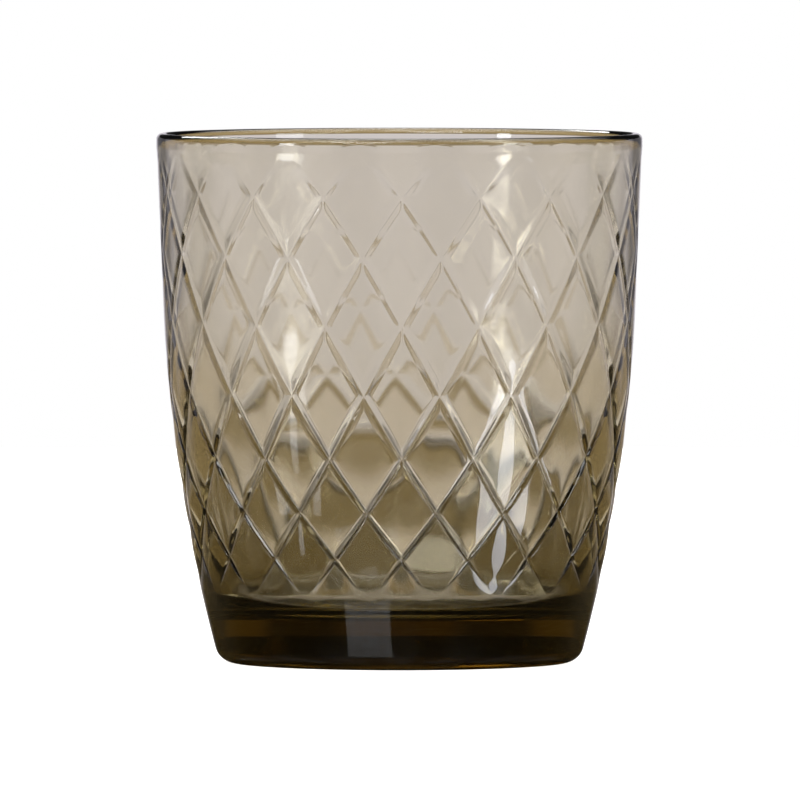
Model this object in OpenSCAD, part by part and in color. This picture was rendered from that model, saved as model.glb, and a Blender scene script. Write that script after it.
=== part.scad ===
// Pressed glass tumbler: a barrel-shaped wall on a thick base, in one piece of
// glass. Millimetres, +Z up, origin on the table under the middle of the foot.

/* [Body] */
// Overall height, from the table to the top of the lip
height = 92.6; // [90:0.1:96]
// Outer diameter of the plain band under the lip
rim_d = 85; // [82:0.5:90]
// How far the band under the lip stands proud of the wall
band_proud = 0.16; // [0.05:0.01:0.3]
// Height of the band, from its lower edge to the top of the lip
band_h = 4.4; // [3:0.1:6]
// Lean of the upper wall, in mm outwards for each mm upwards
taper = 0.041; // [0.03:0.001:0.05]
// Height where the straight upper wall turns into the curved lower wall
curve_z = 62; // [56:1:68]
// Radius of the lower wall's curve, seen from the side
curve_r = 274; // [260:1:320]
// Radius of the corner between the wall and the foot
corner_r = 3.5; // [2:0.5:4]

/* [Inside] */
// Radius of the rounded lip, which is half its thickness
lip_r = 1; // [0.8:0.05:1.5]
// Lean of the upper inner wall, in mm outwards for each mm upwards
inner_taper = 0.046; // [0.04:0.001:0.05]
// Thickness of the wall at the inner floor
wall_low = 4.4; // [3.6:0.1:5.4]
// Thickness of the base, from the table to the inner floor
floor_z = 9.2; // [8.5:0.1:12]
// Radius between the inner wall and the floor
floor_fillet = 6; // [4:0.5:9]

/* [Foot] */
// Inner diameter of the flat ring that the glass stands on
ring_d = 48; // [40:1:52]
// Depth of the shallow hollow inside that ring
hollow = 0.9; // [0.4:0.1:1.5]

/* [Hidden] */
$fn = 128;
curve_fn = 2880;                             // facets of the two very large circles

// Outer wall: a straight lean above curve_z, and a tangent arc below it.
band_z = height - band_h;
band_blend = 2;                              // height over which the band fades into the wall
wall_r = rim_d / 2 - band_proud;
curve_start_r = wall_r - taper * (band_z - curve_z);
curve_c = [curve_start_r - curve_r * cos(atan(taper)), curve_z + curve_r * sin(atan(taper))];
lip_c = [rim_d / 2 - lip_r, height - lip_r];

// Circles that touch the inside of a larger circle and rest on a flat level.
function nested_c(outer_c, outer_r, r, level) =
    [outer_c[0] + sqrt(pow(outer_r - r, 2) - pow(outer_c[1] - level - r, 2)), level + r];
// Height where a circle nested like that touches the larger one.
function touch_z(outer_c, outer_r, r, level) =
    level + r - r * (outer_c[1] - level - r) / (outer_r - r);
corner_c = nested_c(curve_c, curve_r, corner_r, 0);
corner_z = touch_z(curve_c, curve_r, corner_r, 0);

// Inner wall: it follows the outer one with its own lean and its own arc.
inner_lip_r = rim_d / 2 - 2 * lip_r;
inner_start_r = inner_lip_r - inner_taper * (lip_c[1] - curve_z);
outer_floor_r = curve_c[0] + sqrt(pow(curve_r, 2) - pow(curve_c[1] - floor_z, 2));
floor_drop = inner_start_r - inner_taper * (curve_z - floor_z) - (outer_floor_r - wall_low);
inner_r = pow(curve_z - floor_z, 2) / (2 * floor_drop);
inner_c = [inner_start_r - inner_r * cos(atan(inner_taper)), curve_z + inner_r * sin(atan(inner_taper))];
fillet_c = nested_c(inner_c, inner_r, floor_fillet, floor_z);
fillet_z = touch_z(inner_c, inner_r, floor_fillet, floor_z);

// Radius of the sphere whose cap is the hollow under the foot.
hollow_r = (pow(ring_d / 2, 2) + pow(hollow, 2)) / (2 * hollow);

// A barrel profile: a circle of radius r at c between two levels, above a small
// circle nested in its lower corner.
module barrel_profile(c, r, small_c, small_r, touch, level, top) {
    translate(small_c) circle(small_r);
    translate([0, level]) square([small_c[0], small_r]);
    intersection() {
        translate(c) circle(r, $fn = curve_fn);
        translate([0, touch]) square([rim_d, top - touch]);
    }
}

// The glass as if it were solid: foot, barrel, upper wall and band, up to the lip.
module outside_profile() {
    barrel_profile(curve_c, curve_r, corner_c, corner_r, corner_z, 0, curve_z);
    polygon([[0, curve_z], [curve_start_r, curve_z], [wall_r, band_z],
        [rim_d / 2, band_z + band_blend], [rim_d / 2, lip_c[1]], [0, lip_c[1]]]);
}

// Everything the glass holds, open at the top.
module inside_profile() {
    barrel_profile(inner_c, inner_r, fillet_c, floor_fillet, fillet_z, floor_z, curve_z);
    polygon([[0, curve_z], [inner_start_r, curve_z], [inner_lip_r, lip_c[1]],
        [inner_lip_r, height], [0, height]]);
}

// Shallow dome under the foot, which leaves a flat ring to stand on.
module hollow_profile() {
    intersection() {
        translate([0, hollow - hollow_r]) circle(hollow_r, $fn = curve_fn);
        square([ring_d, hollow]);
    }
}

module tumbler() {
    color([0.36, 0.31, 0.22, 0.6]) rotate_extrude() {
        difference() {
            outside_profile();
            inside_profile();
            hollow_profile();
        }
        intersection() {
            translate(lip_c) circle(lip_r);
            translate([inner_lip_r, lip_c[1]]) square(2 * lip_r);
        }
    }
}

tumbler();
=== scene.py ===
"""Smoky pressed-glass tumbler with a diamond lattice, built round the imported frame.

Lengths are in metres. A field given in millimetres is multiplied by MM. The glass
stands on z = 0 with its axis on Z, and its front faces -Y.
"""
import logging
import math
from dataclasses import dataclass, field
from enum import Enum

import bpy
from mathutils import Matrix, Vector


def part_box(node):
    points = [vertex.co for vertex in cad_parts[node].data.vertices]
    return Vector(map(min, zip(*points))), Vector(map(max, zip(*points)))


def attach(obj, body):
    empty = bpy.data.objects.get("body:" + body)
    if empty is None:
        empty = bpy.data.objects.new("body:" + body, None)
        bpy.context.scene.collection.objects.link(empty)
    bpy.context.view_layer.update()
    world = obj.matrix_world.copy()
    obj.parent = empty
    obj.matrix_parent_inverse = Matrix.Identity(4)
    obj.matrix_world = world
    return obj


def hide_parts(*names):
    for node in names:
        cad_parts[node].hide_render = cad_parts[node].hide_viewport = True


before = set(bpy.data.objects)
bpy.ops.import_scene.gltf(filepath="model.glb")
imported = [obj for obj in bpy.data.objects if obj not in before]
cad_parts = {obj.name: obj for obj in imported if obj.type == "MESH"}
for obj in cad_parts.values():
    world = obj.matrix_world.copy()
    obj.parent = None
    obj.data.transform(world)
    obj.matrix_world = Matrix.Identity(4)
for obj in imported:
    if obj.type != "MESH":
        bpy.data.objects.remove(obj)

log = logging.getLogger("tumbler")

MM = 0.001
NODE = "tumbler"
BODY = "root"
SLOT = "smoky_glass"

# Places of the colour sockets on a Mix node, whose names repeat for each kind of value.
MIX_FIRST = 6
MIX_SECOND = 7
MIX_RESULT = 2

Point = tuple[float, float]
Colour = tuple[float, float, float]
RingPoint = tuple[float, float, float, float]
Socket = bpy.types.NodeSocket
Tree = bpy.types.NodeTree
WHITE: Colour = (1.0, 1.0, 1.0)


class PointMark(Enum):
    """Names of the values that each point of the blank carries."""

    ROW = "lattice_row"
    TURN = "lattice_turn"
    SPACING = "lattice_spacing"
    INSIDE = "inside"


class Strand(Enum):
    """The two families of grooves, by the side they lean to as they go down."""

    RIGHTWARD = "rightward"
    LEFTWARD = "leftward"


def smooth_step(value: float, start: float, end: float) -> float:
    """Eases from 0 to 1 as a value passes from start to end.

    Args:
        value: The value to place between the two ends.
        start: Where the result is still 0.
        end: Where the result reaches 1.

    Returns:
        The eased share, from 0 to 1.
    """
    share = min(max((value - start) / (end - start), 0.0), 1.0)
    return share * share * (3 - 2 * share)


def arc(centre: Point, radius: float, start: float, end: float, steps: int) -> list[Point]:
    """Points on an arc in the side view, without its first point.

    Args:
        centre: Distance from the axis and height of the arc's centre.
        radius: The arc's radius.
        start: Angle of the first point, in degrees from the outward direction.
        end: Angle of the last point.
        steps: How many points to give.

    Returns:
        The points in order, each a distance from the axis and a height.
    """
    points = []
    for step in range(1, steps + 1):
        angle = math.radians(start + (end - start) * step / steps)
        points.append((centre[0] + radius * math.cos(angle), centre[1] + radius * math.sin(angle)))
    return points


def feed(tree: Tree, socket: Socket, term: Socket | float) -> None:
    """Gives a node's input its value.

    Args:
        tree: The tree that the node is in.
        socket: The input.
        term: A socket to link to it, or a number to set on it.
    """
    if isinstance(term, (int, float)):
        socket.default_value = term
    else:
        tree.links.new(term, socket)


def maths(tree: Tree, operation: str, *terms: Socket | float) -> Socket:
    """Adds a Math node.

    Args:
        tree: The tree that it goes in.
        operation: The node's operation.
        terms: A socket or a number for each of its inputs.

    Returns:
        The node's output.
    """
    node = tree.nodes.new("ShaderNodeMath")
    node.operation = operation
    for socket, term in zip(node.inputs, terms):
        feed(tree, socket, term)
    return node.outputs["Value"]


def ramp(tree: Tree, value: Socket, start: Socket | float, end: Socket | float,
         low: Socket | float = 0.0, high: Socket | float = 1.0, easing: str = "LINEAR") -> Socket:
    """Adds a Map Range node.

    Args:
        tree: The tree that it goes in.
        value: Socket of the value to map.
        start: Where the result is low.
        end: Where the result is high.
        low: The low result.
        high: The high result.
        easing: The node's interpolation.

    Returns:
        The node's output.
    """
    node = tree.nodes.new("ShaderNodeMapRange")
    node.interpolation_type = easing
    names = ("Value", "From Min", "From Max", "To Min", "To Max")
    for name, term in zip(names, (value, start, end, low, high)):
        feed(tree, node.inputs[name], term)
    return node.outputs["Result"]


def blend(tree: Tree, share: Socket, first: Socket | Colour, second: Socket | Colour) -> Socket:
    """Adds a Mix node for colours.

    Args:
        tree: The tree that it goes in.
        share: Socket of the share of the second colour.
        first: The colour, or its socket, where the share is 0.
        second: The colour, or its socket, where the share is 1.

    Returns:
        The node's output.
    """
    node = tree.nodes.new("ShaderNodeMix")
    node.data_type = "RGBA"
    tree.links.new(share, node.inputs["Factor"])
    for place, tone in ((MIX_FIRST, first), (MIX_SECOND, second)):
        if isinstance(tone, tuple):
            node.inputs[place].default_value = (*tone, 1)
        else:
            tree.links.new(tone, node.inputs[place])
    return node.outputs[MIX_RESULT]


@dataclass
class TumblerProfile:
    """Side view of the glass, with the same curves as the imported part.

    Attributes:
        rim_radius: Outer radius at the lip, from the frame.
        height: Height to the top of the lip, from the frame.
        band_proud: How far the plain band stands out below the lip.
        band_height: Height of that band, lip included.
        band_blend: Height over which the wall widens to it.
        lean: Outward lean of the straight outer wall, across for each metre up.
        curve_height: Level where both walls begin to curve in.
        curve_radius: Radius of the outer wall's lower arc.
        corner_radius: Radius of the foot corner.
        lip_radius: Radius of the lip, half its thickness.
        inner_lean: Outward lean of the straight inner wall.
        wall_low: Wall thickness at the level of the inner floor.
        floor_height: Height of the inner floor above the table.
        fillet_radius: Radius between the inner floor and wall.
        ring_radius: Inner radius of the ring that the glass stands on.
        ring_edge: Width of the ring's narrow inner mesh step.
        ring_inset: Width of the mesh steps near the ring's edges.
        hollow_depth: Depth of the hollow inside that ring.
    """

    rim_radius: float
    height: float
    band_proud: float = 0.16 * MM
    band_height: float = 4.4 * MM
    band_blend: float = 2.0 * MM
    lean: float = 0.041
    curve_height: float = 62.0 * MM
    curve_radius: float = 274.0 * MM
    corner_radius: float = 3.5 * MM
    lip_radius: float = 1.0 * MM
    inner_lean: float = 0.046
    wall_low: float = 4.4 * MM
    floor_height: float = 9.2 * MM
    fillet_radius: float = 6.0 * MM
    ring_radius: float = 24.0 * MM
    ring_edge: float = 0.04 * MM
    ring_inset: float = 0.6 * MM
    hollow_depth: float = 0.9 * MM

    def __post_init__(self) -> None:
        """Works out the centres and levels where the curves meet."""
        self.band_level = self.height - self.band_height
        self.wall_radius = self.rim_radius - self.band_proud
        self.lip_centre = (self.rim_radius - self.lip_radius, self.height - self.lip_radius)
        self.outer_start = self.wall_radius - self.lean * (self.band_level - self.curve_height)
        self.outer_centre = self._tangent_centre(self.outer_start, self.lean, self.curve_radius)
        inner_lip = self.rim_radius - 2 * self.lip_radius
        self.inner_start = inner_lip - self.inner_lean * (self.lip_centre[1] - self.curve_height)
        rise = self.curve_height - self.floor_height
        floor_radius = self.outer_radius(self.floor_height) - self.wall_low
        drop = self.inner_start - self.inner_lean * rise - floor_radius
        self.inner_curve = rise * rise / (2 * drop)
        self.inner_centre = self._tangent_centre(self.inner_start, self.inner_lean, self.inner_curve)
        self.corner_centre = self._nested(self.outer_centre, self.curve_radius, self.corner_radius, 0)
        self.fillet_centre = self._nested(
            self.inner_centre, self.inner_curve, self.fillet_radius, self.floor_height)

    def _tangent_centre(self, start: float, lean: float, radius: float) -> Point:
        """Centre of the large arc that carries on from a leaning straight wall."""
        angle = math.atan(lean)
        return (start - radius * math.cos(angle), self.curve_height + radius * math.sin(angle))

    @staticmethod
    def _nested(centre: Point, large: float, small: float, level: float) -> Point:
        """Centre of a small circle that touches a large one inside and rests on a level."""
        reach = math.sqrt((large - small) ** 2 - (centre[1] - level - small) ** 2)
        return (centre[0] + reach, level + small)

    def outer_radius(self, z: float) -> float:
        """Radius of the outer wall between the foot corner and the lip.

        Args:
            z: Height above the table.

        Returns:
            The distance from the axis.
        """
        if z < self.curve_height:
            return self.outer_centre[0] + math.sqrt(
                self.curve_radius ** 2 - (self.outer_centre[1] - z) ** 2)
        wall = self.outer_start + self.lean * (min(z, self.band_level) - self.curve_height)
        band = min(max((z - self.band_level) / self.band_blend, 0.0), 1.0)
        return wall + self.band_proud * band

    def inner_radius(self, z: float) -> float:
        """Radius of the inner wall between the fillet and the lip.

        Args:
            z: Height above the table.

        Returns:
            The distance from the axis.
        """
        if z < self.curve_height:
            return self.inner_centre[0] + math.sqrt(
                self.inner_curve ** 2 - (self.inner_centre[1] - z) ** 2)
        return self.inner_start + self.inner_lean * (z - self.curve_height)

    @staticmethod
    def _touch_angle(large_centre: Point, small_centre: Point) -> float:
        """Angle, in degrees, of the place where a nested circle meets the larger one."""
        return math.degrees(math.atan2(
            small_centre[1] - large_centre[1], small_centre[0] - large_centre[0]))

    def foot_points(self, corner_steps: int, hollow_steps: int) -> list[Point]:
        """Outline from the middle of the foot out to the top of the foot corner.

        Args:
            corner_steps: Points round the corner.
            hollow_steps: Points across the hollow.

        Returns:
            The points after the pole, going outwards and up.
        """
        cap = (self.ring_radius ** 2 + self.hollow_depth ** 2) / (2 * self.hollow_depth)
        reach = math.degrees(math.asin(self.ring_radius / cap))
        hollow = arc((0.0, self.hollow_depth - cap), cap, 90, 90 - reach, hollow_steps)
        ring_end = self.corner_centre[0]
        ring = [(self.ring_radius + self.ring_edge, 0.0), (self.ring_radius + self.ring_inset, 0.0),
                (ring_end - self.ring_inset, 0.0), (ring_end, 0.0)]
        touch = self._touch_angle(self.outer_centre, self.corner_centre)
        return hollow + ring + arc(self.corner_centre, self.corner_radius, -90, touch, corner_steps)

    def corner_top(self) -> float:
        """Height where the foot corner meets the wall."""
        touch = math.radians(self._touch_angle(self.outer_centre, self.corner_centre))
        return self.corner_centre[1] + self.corner_radius * math.sin(touch)

    def lip_points(self, steps: int) -> list[Point]:
        """Outline over the lip, from outside to inside, after its outer edge."""
        return arc(self.lip_centre, self.lip_radius, 0, 180, steps)

    def inside_points(self, wall_steps: int, fillet_steps: int, floor_steps: int) -> list[Point]:
        """Outline down the inner wall and across the floor, up to but not at the axis.

        Args:
            wall_steps: Points down the inner wall.
            fillet_steps: Points round the fillet.
            floor_steps: Points across the flat floor.

        Returns:
            The points in order, from just under the lip.
        """
        touch = self._touch_angle(self.inner_centre, self.fillet_centre)
        fillet_top = self.fillet_centre[1] + self.fillet_radius * math.sin(math.radians(touch))
        drop = self.lip_centre[1] - fillet_top
        points = []
        for step in range(1, wall_steps + 1):
            z = self.lip_centre[1] - drop * step / wall_steps
            points.append((self.inner_radius(z), z))
        points += arc(self.fillet_centre, self.fillet_radius, touch, -90, fillet_steps)
        for step in range(1, floor_steps):
            points.append((self.fillet_centre[0] * (1 - step / floor_steps), self.floor_height))
        return points


@dataclass
class DiamondLattice:
    """Two families of grooves that cross in rows of nodes round the wall.

    Rows are counted downwards. Row 0 is the first row of whole crossings, and the
    turn counts half diamonds round the glass, so nodes lie where row and turn are
    both even or both odd.

    Attributes:
        around: Diamonds in one ring.
        phase: Turn of a row-0 node from the front, in degrees.
        first_row: Number of the highest row.
        row_levels: Height of each row of crossings, from the highest down, in millimetres.
        steps: Mesh steps along one side of a diamond.
        crowding: How strongly the mesh steps crowd towards the grooves.
    """

    around: int = 19
    phase: float = 0.6
    first_row: int = -1
    row_levels: tuple[float, ...] = (91.35, 82.5, 72.0, 60.2, 48.05, 36.8, 27.4, 19.4, 12.2)
    steps: int = 20
    crowding: float = 0.8

    @property
    def last_row(self) -> int:
        """Number of the lowest row."""
        return self.first_row + len(self.row_levels) - 1

    @property
    def columns(self) -> int:
        """Mesh points in each ring."""
        return self.around * self.steps

    @property
    def half_turn(self) -> float:
        """Angle between neighbouring turns, in radians."""
        return math.pi / self.around

    def level(self, row: float) -> float:
        """Height of a row, with whole rows joined by a smooth curve.

        Args:
            row: Row number, whole or between rows.

        Returns:
            The height in metres.
        """
        levels = self.row_levels
        place = min(max(row - self.first_row, 0.0), len(levels) - 1.0)
        low = min(int(place), len(levels) - 2)
        share = place - low
        before = levels[low - 1] if low > 0 else 2 * levels[low] - levels[low + 1]
        after = levels[low + 2] if low + 2 < len(levels) else 2 * levels[low + 1] - levels[low]
        start, end = levels[low], levels[low + 1]
        slope_in, slope_out = (end - before) / 2, (after - start) / 2
        curve = (2 * share ** 3 - 3 * share ** 2 + 1) * start
        curve += (share ** 3 - 2 * share ** 2 + share) * slope_in
        curve += (3 * share ** 2 - 2 * share ** 3) * end
        curve += (share ** 3 - share ** 2) * slope_out
        return curve * MM

    def strand_place(self, step: int) -> float:
        """Place of a mesh step across the strands, crowded towards whole numbers."""
        even = step / self.steps
        return even - self.crowding * math.sin(math.tau * even) / math.tau

    def spacing(self, row: float, radius: float) -> float:
        """Distance between neighbouring grooves, square to them.

        Args:
            row: Row number of the place.
            radius: Radius of the wall there.

        Returns:
            The distance in metres.
        """
        row = min(max(row, self.first_row + 0.5), self.last_row - 0.5)
        across = radius * self.half_turn
        down = self.level(row - 0.5) - self.level(row + 0.5)
        return 2 * across * down / math.hypot(across, down)

    def angle(self, turn: float) -> float:
        """Angle about Z of a turn, in radians, where 0 is +X and the front is -Y."""
        return math.radians(self.phase - 90) + turn * self.half_turn


@dataclass
class GroovePress:
    """Geometry Nodes tree that presses the lattice into the blank.

    Attributes:
        depth_high: Groove depth on the upper rows.
        depth_low: Groove depth on the lower rows.
        half_high: Half a groove's width on the upper rows.
        half_low: Half a groove's width on the lower rows.
        half_least: The least that this narrows to where a groove ends.
        root_high: Rounding at the bottom of a groove on the upper rows.
        root_low: Rounding at the bottom of a groove on the lower rows.
        shoulder: Rounding where two grooves cross, as a share of their depth.
        crown: How far the middle of a diamond stands above its edges, low down.
        fade_start: Row where the grooves begin to show.
        fade_end: Row where they reach the upper depth.
        deepen_start: Row where they begin to deepen.
        deepen_end: Row where they reach the lower depth.
        taper_start: Row where their ends begin to narrow.
        taper_end: Row where their ends come to a point.
        band_row: Row where the plain band over the foot begins.
    """

    depth_high: float = 0.15 * MM
    depth_low: float = 0.42 * MM
    half_high: float = 1.0 * MM
    half_low: float = 0.46 * MM
    half_least: float = 0.05 * MM
    root_high: float = 0.2 * MM
    root_low: float = 0.02 * MM
    shoulder: float = 0.1
    crown: float = 0.42 * MM
    fade_start: float = -0.85
    fade_end: float = 0.1
    deepen_start: float = 2.0
    deepen_end: float = 4.8
    taper_start: float = 5.95
    taper_end: float = 6.70
    band_row: float = 7.0

    def tree(self) -> Tree:
        """Builds the tree, with each size as a named input.

        Returns:
            The finished node group.
        """
        group = bpy.data.node_groups.new("press_lattice", "GeometryNodeTree")
        sockets = group.interface
        sockets.new_socket("Geometry", in_out="INPUT", socket_type="NodeSocketGeometry")
        sockets.new_socket("Material", in_out="INPUT", socket_type="NodeSocketMaterial")
        for name in self.inputs():
            sockets.new_socket(name, in_out="INPUT", socket_type="NodeSocketFloat")
        sockets.new_socket("Geometry", in_out="OUTPUT", socket_type="NodeSocketGeometry")
        link = group.links.new
        source = group.nodes.new("NodeGroupInput").outputs
        push = group.nodes.new("ShaderNodeVectorMath")
        push.operation = "SCALE"
        normal = group.nodes.new("GeometryNodeInputNormal")
        link(normal.outputs["Normal"], push.inputs[0])
        link(maths(group, "MULTIPLY", self._sink(group, source), -1.0), push.inputs["Scale"])
        geometry = source["Geometry"]
        steps = {}
        for kind in ("SetPosition", "SetShadeSmooth", "RealizeInstances", "SetMaterial"):
            steps[kind] = group.nodes.new(f"GeometryNode{kind}")
            link(geometry, steps[kind].inputs["Geometry"])
            geometry = steps[kind].outputs["Geometry"]
        link(push.outputs["Vector"], steps["SetPosition"].inputs["Offset"])
        link(source["Material"], steps["SetMaterial"].inputs["Material"])
        link(geometry, group.nodes.new("NodeGroupOutput").inputs["Geometry"])
        return group

    def _sink(self, group: Tree, source: bpy.types.NodeOutputs) -> Socket:
        """How far each point of the blank is pressed in.

        Args:
            group: The tree.
            source: Outputs of its group input.

        Returns:
            Socket of the distance.
        """
        row, turn = self._read(group, PointMark.ROW), self._read(group, PointMark.TURN)
        spacing = self._read(group, PointMark.SPACING)
        low = ramp(group, row, source["Deepen Start"], source["Deepen End"], easing="SMOOTHSTEP")
        rise = ramp(group, row, source["Fade Start"], source["Fade End"], easing="SMOOTHSTEP")
        end = ramp(group, row, source["Taper Start"], source["Taper End"], 1.0, 0.0)
        depth = ramp(group, low, 0.0, 1.0, source["Depth High"], source["Depth Low"])
        depth = maths(group, "MULTIPLY", maths(group, "MULTIPLY", rise, end), depth)
        half = ramp(group, low, 0.0, 1.0, source["Half High"], source["Half Low"])
        half = maths(group, "MAXIMUM", maths(group, "MULTIPLY", end, half), source["Half Least"])
        root = ramp(group, low, 0.0, 1.0, source["Root High"], source["Root Low"])
        aways = [self._away(group, strand, row, turn) for strand in Strand]
        cuts = [self._cut(group, away, spacing, half, root) for away in aways]
        groove = maths(group, "SMOOTH_MAX", *cuts, source["Shoulder"])
        groove = maths(group, "MULTIPLY", groove, depth)
        fall = ramp(group, row, source["Taper Start"], source["Band Row"], 1.0, 0.0, "SMOOTHSTEP")
        dome = maths(group, "MULTIPLY", self._dome(group, aways), maths(group, "MULTIPLY", low, fall))
        return maths(group, "MULTIPLY_ADD", dome, source["Crown"], groove)

    def inputs(self) -> dict[str, float]:
        """Name and value of each size that the tree takes."""
        return {
            "Depth High": self.depth_high, "Depth Low": self.depth_low,
            "Half High": self.half_high, "Half Low": self.half_low, "Half Least": self.half_least,
            "Root High": self.root_high, "Root Low": self.root_low,
            "Shoulder": self.shoulder, "Crown": self.crown, "Band Row": self.band_row,
            "Fade Start": self.fade_start, "Fade End": self.fade_end,
            "Deepen Start": self.deepen_start, "Deepen End": self.deepen_end,
            "Taper Start": self.taper_start, "Taper End": self.taper_end,
        }

    @staticmethod
    def _read(group: Tree, mark: PointMark) -> Socket:
        """Adds a node that reads one of the blank's point values."""
        node = group.nodes.new("GeometryNodeInputNamedAttribute")
        node.data_type = "FLOAT"
        node.inputs["Name"].default_value = mark.value
        return node.outputs["Attribute"]

    @staticmethod
    def _away(group: Tree, strand: Strand, row: Socket, turn: Socket) -> Socket:
        """Distance from the nearest groove of one family, as a share of their spacing.

        Args:
            group: The tree.
            strand: Which family of grooves.
            row: Socket of the row number.
            turn: Socket of the turn number.

        Returns:
            Socket of the share, from 0 in the groove to a half between two.
        """
        lean = "ADD" if strand is Strand.RIGHTWARD else "SUBTRACT"
        place = maths(group, "MULTIPLY", maths(group, lean, row, turn), 0.5)
        return maths(group, "PINGPONG", place, 0.5)

    @staticmethod
    def _cut(group: Tree, away: Socket, spacing: Socket, half: Socket, root: Socket) -> Socket:
        """Section of one family's V groove, as a share of its depth.

        Args:
            group: The tree.
            away: Socket of the distance from the groove, as a share of the spacing.
            spacing: Socket of the distance between grooves.
            half: Socket of half the groove's width.
            root: Socket of the rounding at its bottom.

        Returns:
            Socket of the section, 0 away from the groove.
        """
        reach = maths(group, "MULTIPLY", away, spacing)
        squares = maths(group, "MULTIPLY_ADD", reach, reach, maths(group, "MULTIPLY", root, root))
        rounded = maths(group, "SUBTRACT", maths(group, "SQRT", squares), root)
        section = maths(group, "SUBTRACT", 1.0, maths(group, "DIVIDE", rounded, half))
        return maths(group, "MAXIMUM", section, 0.0)

    @staticmethod
    def _dome(group: Tree, aways: list[Socket]) -> Socket:
        """How far each point lies below the middle of its diamond, as a share of the crown.

        Args:
            group: The tree.
            aways: Sockets of the distances from each family's grooves.

        Returns:
            Socket of the share, from 0 in the middle to 1 along the grooves.
        """
        rises = []
        for away in aways:
            near = maths(group, "MULTIPLY_ADD", away, -2.0, 1.0)
            rises.append(maths(group, "SUBTRACT", 1.0, maths(group, "MULTIPLY", near, near)))
        return maths(group, "SUBTRACT", 1.0, maths(group, "MULTIPLY", *rises))


@dataclass(frozen=True)
class SmokyGlass:
    """Clear glass, coloured smoky brown in its mass.

    Attributes:
        ior: Refractive index of soda-lime glass.
        polish: Roughness of the fire-polished surface.
        scuff: Roughness of the worn ring that the glass stands on.
        worn_start: Height up to which that ring is fully worn.
        worn_end: Height where the wear ends.
        wave: Height of the slow unevenness left by the mould.
        wave_size: How long one of its waves is.
        wave_detail: How much finer unevenness it has.
        plunger: Roughness of the inner wall, which the plunger touched.
        absorb: Light lost in each metre of glass, for red, green and blue.
        density: Scale of that loss on the shader.
    """

    ior: float = 1.51
    polish: float = 0.0
    scuff: float = 0.12
    worn_start: float = 0.05 * MM
    worn_end: float = 0.25 * MM
    wave: float = 0.04 * MM
    wave_size: float = 14 * MM
    wave_detail: float = 1.0
    plunger: float = 0.08
    absorb: Colour = (57.0, 70.0, 122.0)
    density: float = 200.0

    def material(self) -> bpy.types.Material:
        """Builds the material.

        Returns:
            The finished material.
        """
        made = bpy.data.materials.new(SLOT)
        made.use_nodes = True
        tree = made.node_tree
        tree.nodes.clear()
        link = tree.links.new
        output = tree.nodes.new("ShaderNodeOutputMaterial")
        glass = tree.nodes.new("ShaderNodeBsdfPrincipled")
        glass.inputs["Base Color"].default_value = (*WHITE, 1)
        glass.inputs["Transmission Weight"].default_value = 1.0
        glass.inputs["IOR"].default_value = self.ior
        surface = tree.nodes.new("ShaderNodeGroup")
        surface.node_tree = self.surface_group()
        for name, value in self.inputs().items():
            surface.inputs[name].default_value = value
        bump = tree.nodes.new("ShaderNodeBump")
        bump.inputs["Strength"].default_value = 1.0
        bump.inputs["Distance"].default_value = self.wave
        link(surface.outputs["Height"], bump.inputs["Height"])
        link(bump.outputs["Normal"], glass.inputs["Normal"])
        link(surface.outputs["Roughness"], glass.inputs["Roughness"])
        link(glass.outputs["BSDF"], output.inputs["Surface"])
        smoke = tree.nodes.new("ShaderNodeVolumeAbsorption")
        smoke.inputs["Density"].default_value = self.density
        tint = [1 - loss / self.density for loss in self.absorb]
        smoke.inputs["Color"].default_value = (*tint, 1)
        link(smoke.outputs["Volume"], output.inputs["Volume"])
        return made

    def inputs(self) -> dict[str, float]:
        """Name and value of each input of the surface group."""
        return {"Polish": self.polish, "Plunger": self.plunger, "Scuff": self.scuff,
                "Wave Size": self.wave_size}

    def surface_group(self) -> Tree:
        """Builds the group that gives pressed glass its unevenness and its worn foot.

        Returns:
            The node group, with outputs Height and Roughness.
        """
        group = bpy.data.node_groups.new("pressed_surface", "ShaderNodeTree")
        for name in self.inputs():
            group.interface.new_socket(name, in_out="INPUT", socket_type="NodeSocketFloat")
        for name in ("Height", "Roughness"):
            group.interface.new_socket(name, in_out="OUTPUT", socket_type="NodeSocketFloat")
        link = group.links.new
        source = group.nodes.new("NodeGroupInput").outputs
        result = group.nodes.new("NodeGroupOutput").inputs
        place = group.nodes.new("ShaderNodeTexCoord").outputs["Object"]
        waves = group.nodes.new("ShaderNodeTexNoise")
        waves.inputs["Detail"].default_value = self.wave_detail
        link(place, waves.inputs["Vector"])
        link(maths(group, "DIVIDE", 1.0, source["Wave Size"]), waves.inputs["Scale"])
        link(waves.outputs["Fac"], result["Height"])
        inside = group.nodes.new("ShaderNodeAttribute")
        inside.attribute_name = PointMark.INSIDE.value
        side = ramp(group, inside.outputs["Fac"], 0.0, 1.0, source["Polish"], source["Plunger"])
        parts = group.nodes.new("ShaderNodeSeparateXYZ")
        link(place, parts.inputs["Vector"])
        worn = ramp(group, parts.outputs["Z"], self.worn_start, self.worn_end, source["Scuff"], side)
        link(worn, result["Roughness"])
        return group


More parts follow.
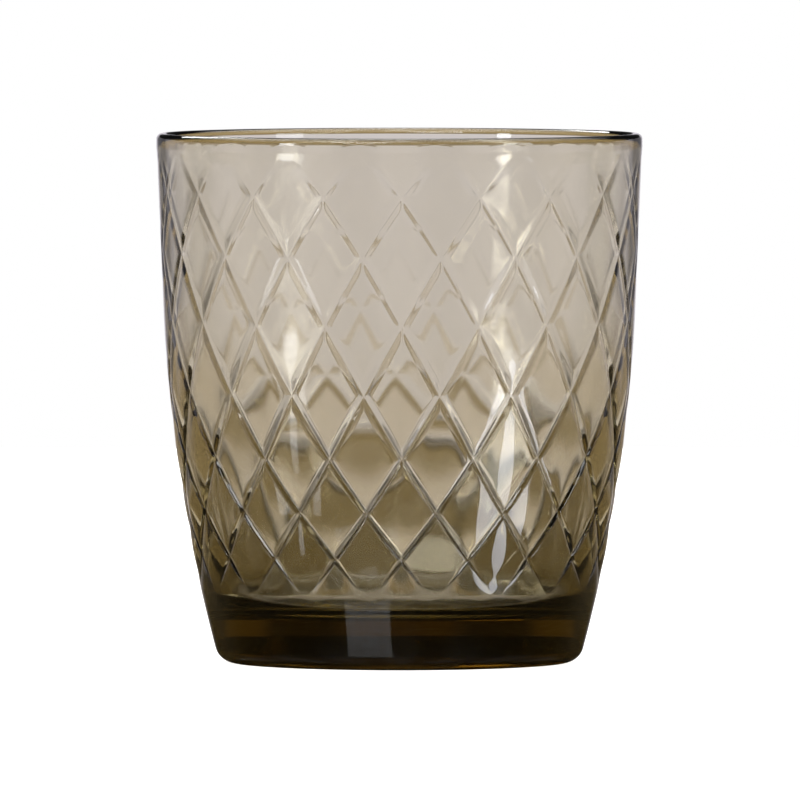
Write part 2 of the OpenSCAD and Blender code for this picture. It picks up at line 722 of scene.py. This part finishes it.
@dataclass
class TumblerGlass:
    """The glass itself: one piece, pressed in one go.

    Attributes:
        profile: Its side view.
        lattice: The grid of grooves round it.
        press: The tree that sinks the grooves.
        finish: Its glass.
        corner_steps: Mesh steps round the foot corner.
        hollow_steps: Mesh steps across the hollow underneath.
        heel_steps: Mesh steps up the plain wall below the lattice.
        lip_steps: Mesh steps over the lip.
        wall_steps: Mesh steps down the inner wall.
        fillet_steps: Mesh steps round the inner fillet.
        floor_steps: Mesh steps across the inner floor.
    """

    profile: TumblerProfile
    lattice: DiamondLattice = field(default_factory=DiamondLattice)
    press: GroovePress = field(default_factory=GroovePress)
    finish: SmokyGlass = field(default_factory=SmokyGlass)
    corner_steps: int = 8
    hollow_steps: int = 6
    heel_steps: int = 4
    lip_steps: int = 14
    wall_steps: int = 16
    fillet_steps: int = 10
    floor_steps: int = 8

    def build(self) -> bpy.types.Object:
        """Makes the blank, presses the lattice and leaves one plain mesh.

        Returns:
            The dressed glass.
        """
        blank = self.blank()
        modifier = blank.modifiers.new("press_lattice", "NODES")
        tree = self.press.tree()
        modifier.node_group = tree
        values = {**self.press.inputs(), "Material": self.finish.material()}
        for item in tree.interface.items_tree:
            if item.in_out == "INPUT" and item.name in values:
                modifier[item.identifier] = values[item.name]
        bpy.context.view_layer.update()
        pressed = blank.evaluated_get(bpy.context.evaluated_depsgraph_get())
        mesh = bpy.data.meshes.new_from_object(pressed)
        mesh.name = "glass"
        blank.modifiers.remove(modifier)
        old = blank.data
        blank.data = mesh
        bpy.data.meshes.remove(old)
        return blank

    def blank(self) -> bpy.types.Object:
        """Makes the smooth glass, with its mesh laid out along the lattice.

        Returns:
            The blank, whose points carry their row, turn and groove spacing.
        """
        rings = self._rings()
        points: list[Vector] = []
        marks: dict[PointMark, list[float]] = {mark: [] for mark in PointMark}
        inner_start = len(rings) - self.wall_steps - self.fillet_steps - self.floor_steps
        for index, ring in enumerate(rings):
            for radius, z, row, turn in ring:
                angle = self.lattice.angle(turn)
                points.append(Vector((radius * math.cos(angle), radius * math.sin(angle), z)))
                marks[PointMark.ROW].append(row)
                marks[PointMark.TURN].append(turn)
                marks[PointMark.SPACING].append(self.lattice.spacing(row, radius))
                marks[PointMark.INSIDE].append(float(index > inner_start))
        foot_pole = len(points)
        points.append(Vector((0, 0, self.profile.hollow_depth)))
        floor_pole = len(points)
        points.append(Vector((0, 0, self.profile.floor_height)))
        mesh = bpy.data.meshes.new("glass_blank")
        mesh.from_pydata(points, [], self._faces(rings, foot_pole, floor_pole))
        mesh.validate()
        mesh.shade_smooth()
        poles = {PointMark.ROW: [self.lattice.last_row, 0.0], PointMark.INSIDE: [0.0, 1.0]}
        for mark, values in marks.items():
            layer = mesh.attributes.new(mark.value, "FLOAT", "POINT")
            layer.data.foreach_set("value", values + poles.get(mark, [0.0, 0.0]))
        made = bpy.data.objects.new("tumbler_glass", mesh)
        bpy.context.collection.objects.link(made)
        return made

    def _rings(self) -> list[list[RingPoint]]:
        """Rings of the blank from the foot, up the outside, over the lip and down inside.

        Returns:
            For each ring, the radius, height, row and turn of each point.
        """
        lattice, profile = self.lattice, self.profile
        last, first = lattice.last_row, lattice.first_row
        rings = []
        low = self._lattice_ring(last * lattice.steps)
        heel = []
        bottom, top = profile.corner_top(), lattice.level(last)
        for step in range(1, self.heel_steps):
            z = bottom + (top - bottom) * step / self.heel_steps
            heel.append((profile.outer_radius(z), z))
        foot = profile.foot_points(self.corner_steps, self.hollow_steps)
        for index, (radius, z) in enumerate(foot + heel):
            share = smooth_step(index, len(foot) - self.corner_steps, len(foot + heel))
            rings.append(self._plain_ring(radius, z, last, low, share))
        for step in range(last * lattice.steps, first * lattice.steps - 1, -1):
            rings.append(self._lattice_ring(step))
        high = rings[-1]
        inside = profile.lip_points(self.lip_steps)
        inside += profile.inside_points(self.wall_steps, self.fillet_steps, self.floor_steps)
        for index, (radius, z) in enumerate(inside):
            share = 1 - smooth_step(index, 0, self.lip_steps)
            rings.append(self._plain_ring(radius, z, first, high, share))
        return rings

    def _plain_ring(self, radius: float, z: float, row: float, near: list[RingPoint],
                    share: float) -> list[RingPoint]:
        """A level ring off the lattice.

        Args:
            radius: Its radius.
            z: Its height.
            row: The row it counts as.
            near: The lattice ring next to it.
            share: How far its turns follow that ring, where 0 is evenly spaced.

        Returns:
            The ring's points.
        """
        ring = []
        for index, (_, _, _, turn) in enumerate(near):
            even = 2 * index / self.lattice.steps
            ring.append((radius, z, row, even + (turn - even) * share))
        return ring

    def _lattice_ring(self, step: int) -> list[RingPoint]:
        """One ring of the wall, which follows the lattice.

        Args:
            step: Mesh steps down from row 0.

        Returns:
            The ring's points. Every other ring starts half a step round.
        """
        ring = []
        for index in range(self.lattice.columns):
            across = 2 * index + step % 2
            right = self.lattice.strand_place((step + across) // 2)
            left = self.lattice.strand_place((step - across) // 2)
            row, turn = right + left, right - left
            z = self.lattice.level(row)
            ring.append((self.profile.outer_radius(z), z, row, turn))
        return ring

    def _faces(self, rings: list[list[RingPoint]], foot_pole: int, floor_pole: int
               ) -> list[tuple[int, ...]]:
        """Faces that join the rings, all outwards.

        Args:
            rings: The rings in order.
            foot_pole: Number of the point in the middle of the foot.
            floor_pole: Number of the point in the middle of the floor.

        Returns:
            Point numbers of each face.
        """
        count = self.lattice.columns
        wall = (self.lattice.last_row - self.lattice.first_row) * self.lattice.steps
        foot = len(self.profile.foot_points(self.corner_steps, self.hollow_steps))
        start = foot + self.heel_steps - 1
        end = start + wall
        faces: list[tuple[int, ...]] = []

        def at(ring: int, column: int) -> int:
            """Number of a point."""
            return ring * count + column % count

        for column in range(count):
            faces.append((foot_pole, at(0, column + 1), at(0, column)))
            faces.append((floor_pole, at(len(rings) - 1, column), at(len(rings) - 1, column + 1)))
            faces.append((at(start, column), at(start, column + 1), at(start + 1, column)))
            faces.append((at(end, column + 1), at(end, column), at(end - 1, column)))
            for ring in [*range(start), *range(end, len(rings) - 1)]:
                faces.append((at(ring, column), at(ring, column + 1),
                              at(ring + 1, column + 1), at(ring + 1, column)))
            for ring in range(start + 1, end):
                left = column - (ring - start) % 2
                faces.append((at(ring - 1, column), at(ring, left + 1),
                              at(ring + 1, column), at(ring, left)))
        return faces


@dataclass
class Floor:
    """Round floor that the glass stands on.

    It is pale to the eye. What the glass mirrors and bends of it is dark and glossy. That dark finish
    carries painted shade: it is darker close to the glass, standing in for the glass's shadow on the
    table.

    Attributes:
        radius: Its radius.
        edge_points: Points round its edge.
        sheen: Roughness of the dark finish.
        near: The dark finish's colour close to the glass, darkened as painted shade of the glass's
            shadow.
        far: Its colour further out, clear of that painted shade.
        painted_shade_fade_start: Distance from the axis where the painted shade begins to lift.
        painted_shade_fade_end: Distance where the painted shade has gone.
        glow: Brightness of the pale finish.
    """

    radius: float = 0.95
    edge_points: int = 256
    sheen: float = 0.06
    # Painted shade: near is the dark finish darkened close to the glass for the glass's shadow; far
    # is the finish clear of it.
    near: Colour = (0.08, 0.056, 0.018)
    far: Colour = (0.31, 0.235, 0.125)
    painted_shade_fade_start: float = 0.05
    painted_shade_fade_end: float = 0.28
    glow: float = 0.9

    def build(self) -> bpy.types.Object:
        """Makes the floor.

        Returns:
            The floor.
        """
        ring = []
        for index in range(self.edge_points):
            angle = math.tau * index / self.edge_points
            ring.append((self.radius * math.cos(angle), self.radius * math.sin(angle), 0.0))
        mesh = bpy.data.meshes.new("floor")
        mesh.from_pydata(ring, [], [tuple(range(self.edge_points))])
        mesh.materials.append(self.material())
        made = bpy.data.objects.new("floor", mesh)
        bpy.context.collection.objects.link(made)
        return made

    def material(self) -> bpy.types.Material:
        """Builds the material.

        Returns:
            The finished material.
        """
        made = bpy.data.materials.new("floor")
        made.use_nodes = True
        tree = made.node_tree
        tree.nodes.clear()
        link = tree.links.new
        output = tree.nodes.new("ShaderNodeOutputMaterial")
        gloss = tree.nodes.new("ShaderNodeBsdfPrincipled")
        place = tree.nodes.new("ShaderNodeTexCoord")
        away = tree.nodes.new("ShaderNodeVectorMath")
        away.operation = "LENGTH"
        link(place.outputs["Object"], away.inputs[0])
        # Painted shade: the dark finish darkens towards the glass, standing in for the glass's shadow
        # on the table.
        share = ramp(tree, away.outputs["Value"], self.painted_shade_fade_start, self.painted_shade_fade_end)
        link(blend(tree, share, self.near, self.far), gloss.inputs["Base Color"])
        gloss.inputs["Roughness"].default_value = self.sheen
        pale = tree.nodes.new("ShaderNodeEmission")
        pale.inputs["Strength"].default_value = self.glow
        matt = tree.nodes.new("ShaderNodeBsdfDiffuse")
        both = tree.nodes.new("ShaderNodeAddShader")
        link(pale.outputs["Emission"], both.inputs[0])
        link(matt.outputs["BSDF"], both.inputs[1])
        seen = tree.nodes.new("ShaderNodeLightPath")
        mix = tree.nodes.new("ShaderNodeMixShader")
        link(seen.outputs["Is Camera Ray"], mix.inputs["Fac"])
        link(gloss.outputs["BSDF"], mix.inputs[1])
        link(both.outputs["Shader"], mix.inputs[2])
        link(mix.outputs["Shader"], output.inputs["Surface"])
        return made


@dataclass
class Softbox:
    """One rectangular studio light that faces the glass.

    Attributes:
        name: Its name.
        azimuth: Degrees to the right of the front.
        elevation: Degrees above the table.
        distance: Distance from the glass.
        width: Its width.
        height: Its height.
        radiance: How bright it looks.
        colour: Its colour.
        aim: Height on the glass that it faces.
    """

    name: str
    azimuth: float
    elevation: float
    distance: float
    width: float
    height: float
    radiance: float
    colour: Colour
    aim: float = 30 * MM

    def build(self) -> bpy.types.Object:
        """Makes the light.

        Returns:
            The light, turned towards the glass.
        """
        lamp = bpy.data.lights.new(self.name, "AREA")
        lamp.shape = "RECTANGLE"
        lamp.size = self.width
        lamp.size_y = self.height
        lamp.color = self.colour
        lamp.energy = self.radiance * math.pi * self.width * self.height
        made = bpy.data.objects.new(self.name, lamp)
        side, rise = math.radians(self.azimuth), math.radians(self.elevation)
        away = Vector((math.sin(side) * math.cos(rise), -math.cos(side) * math.cos(rise),
                       math.sin(rise)))
        made.location = Vector((0, 0, self.aim)) + away * self.distance
        made.rotation_euler = away.to_track_quat("Z", "Y").to_euler()
        bpy.context.collection.objects.link(made)
        return made


@dataclass
class TableGleam:
    """Window light that the table mirrors, as a flat light lying on it.

    Attributes:
        azimuth: Degrees to the right of the front, of the way it runs.
        start: Place on the table where it begins, beside the glass.
        length: Its length.
        width: Its width.
        lift: How far it lies above the table.
        radiance: How bright it looks.
        colour: Its colour.
    """

    azimuth: float = 58.0
    start: Point = (0.043, -0.050)
    length: float = 0.28
    width: float = 0.042
    lift: float = 1.0 * MM
    radiance: float = 5.0
    colour: Colour = (0.84, 0.89, 1.0)

    def build(self) -> bpy.types.Object:
        """Makes the light.

        Returns:
            The light, facing up and hidden from the camera.
        """
        lamp = bpy.data.lights.new("table_gleam", "AREA")
        lamp.shape = "ELLIPSE"
        lamp.size = self.width
        lamp.size_y = self.length
        lamp.color = self.colour
        lamp.energy = self.radiance * math.pi * self.width * self.length
        made = bpy.data.objects.new("table_gleam", lamp)
        side = math.radians(self.azimuth)
        along = Vector((math.sin(side), -math.cos(side), 0.0))
        made.location = Vector((*self.start, self.lift)) + along * self.length / 2
        made.rotation_euler = (math.pi, 0.0, side)
        made.visible_camera = False
        bpy.context.collection.objects.link(made)
        return made


@dataclass
class Studio:
    """Floor, surrounding light and softboxes.

    Attributes:
        backdrop: Light behind the glass, near the level of the table.
        upper: Brightness of the quiet zone above it.
        ceiling: Brightness straight above.
        backdrop_top: Degrees above the level where the backdrop ends.
        upper_start: Degrees where the quiet zone begins.
        upper_end: Degrees where it ends.
        ceiling_start: Degrees where the ceiling has its full brightness.
        panels: Number of brighter panels round the glass.
        gap: Brightness between two panels, as a share of theirs.
        gap_start: Degrees from the middle of a panel to where it begins to dim.
        gap_end: Degrees to where it is as dim as the gap.
    """

    backdrop: Colour = (0.73, 0.695, 0.755)
    upper: float = 0.05
    ceiling: float = 4.0
    backdrop_top: float = 5.0
    upper_start: float = 7.0
    upper_end: float = 28.0
    ceiling_start: float = 62.0
    panels: int = 8
    gap: float = 0.3
    gap_start: float = 8.0
    gap_end: float = 16.0

    def softboxes(self) -> list[Softbox]:
        """The lights, in the order that they are made."""
        return [
            Softbox("window_right", azimuth=58, elevation=13.5, distance=1.55, width=0.42,
                    height=0.44, radiance=5, colour=(0.93, 0.96, 1.0)),
            Softbox("window_left", azimuth=-20, elevation=33, distance=1.4, width=0.62,
                    height=0.35, radiance=10, colour=(0.95, 0.97, 1.0)),
            Softbox("window_side", azimuth=-55, elevation=11, distance=1.6, width=0.22,
                    height=0.4, radiance=10, colour=(0.95, 0.97, 1.0)),
            Softbox("window_back", azimuth=205, elevation=35, distance=1.6, width=0.5,
                    height=0.4, radiance=8, colour=(1.0, 0.98, 0.95)),
        ]

    def build(self) -> None:
        """Makes the floor, the world and the lights."""
        Floor().build()
        self.surroundings()
        for softbox in self.softboxes():
            softbox.build()
        TableGleam().build()

    def surroundings(self) -> None:
        """Lights the scene from all round, by height and by panel."""
        world = bpy.data.worlds.new("studio")
        bpy.context.scene.world = world
        world.use_nodes = True
        tree = world.node_tree
        tree.nodes.clear()
        link = tree.links.new
        output = tree.nodes.new("ShaderNodeOutputWorld")
        place = tree.nodes.new("ShaderNodeTexCoord")
        parts = tree.nodes.new("ShaderNodeSeparateXYZ")
        link(place.outputs["Generated"], parts.inputs["Vector"])
        height = tree.nodes.new("ShaderNodeValToRGB")
        quiet, bright = (self.upper,) * 3, (self.ceiling,) * 3
        stops = [(self.backdrop_top, self.backdrop), (self.upper_start, quiet),
                 (self.upper_end, quiet), (self.ceiling_start, bright)]
        elements = height.color_ramp.elements
        while len(elements) < len(stops):
            elements.new(1.0)
        for element, (angle, level) in zip(elements, stops):
            element.position = math.sin(math.radians(angle))
            element.color = (*level, 1)
        link(parts.outputs["Z"], height.inputs["Fac"])
        bearing = maths(tree, "ARCTAN2", parts.outputs["X"], parts.outputs["Y"])
        fold = maths(tree, "PINGPONG", bearing, math.pi / self.panels)
        panel = ramp(tree, fold, math.radians(self.gap_start), math.radians(self.gap_end),
                     1.0, self.gap, "SMOOTHSTEP")
        seen = tree.nodes.new("ShaderNodeLightPath").outputs["Is Camera Ray"]
        light = tree.nodes.new("ShaderNodeBackground")
        link(blend(tree, seen, height.outputs["Color"], WHITE), light.inputs["Color"])
        link(maths(tree, "MAXIMUM", seen, panel), light.inputs["Strength"])
        link(light.outputs["Background"], output.inputs["Surface"])


@dataclass
class PortraitCamera:
    """Long-lens camera a little above the table.

    Attributes:
        distance: Distance from the glass's axis.
        height: Height above the table.
        aim: Point that the view centres on.
        lens: Focal length in millimetres.
        sensor: Sensor width in millimetres.
        clip_near: Nearest distance that it shows.
        clip_far: Furthest distance that it shows.
    """

    distance: float = 3.4
    height: float = 0.172
    aim: tuple[float, float, float] = (0.0001, 0.0, 0.0459)
    lens: float = 875.0
    sensor: float = 36.0
    clip_near: float = 0.1
    clip_far: float = 100.0

    def build(self) -> bpy.types.Object:
        """Makes the camera and gives it to the scene.

        Returns:
            The camera.
        """
        data = bpy.data.cameras.new("camera")
        data.lens = self.lens
        data.sensor_width = self.sensor
        data.clip_start = self.clip_near
        data.clip_end = self.clip_far
        made = bpy.data.objects.new("camera", data)
        made.location = (self.aim[0], -self.distance, self.height)
        look = Vector(self.aim) - Vector(made.location)
        made.rotation_euler = look.to_track_quat("-Z", "Y").to_euler()
        bpy.context.collection.objects.link(made)
        bpy.context.scene.camera = made
        return made


def main() -> None:
    """Builds the camera, the studio and the glass."""
    logging.basicConfig(level=logging.INFO, format="%(name)s: %(message)s", force=True)
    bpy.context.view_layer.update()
    PortraitCamera().build()
    Studio().build()
    bpy.context.scene.view_settings.view_transform = "Standard"
    low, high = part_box(NODE)
    profile = TumblerProfile(rim_radius=high[0], height=high[2] - low[2])
    glass = TumblerGlass(profile).build()
    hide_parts(NODE)
    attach(glass, BODY)
    log.info("%s: %d points", glass.name, len(glass.data.vertices))


if __name__ == "__main__":
    main()
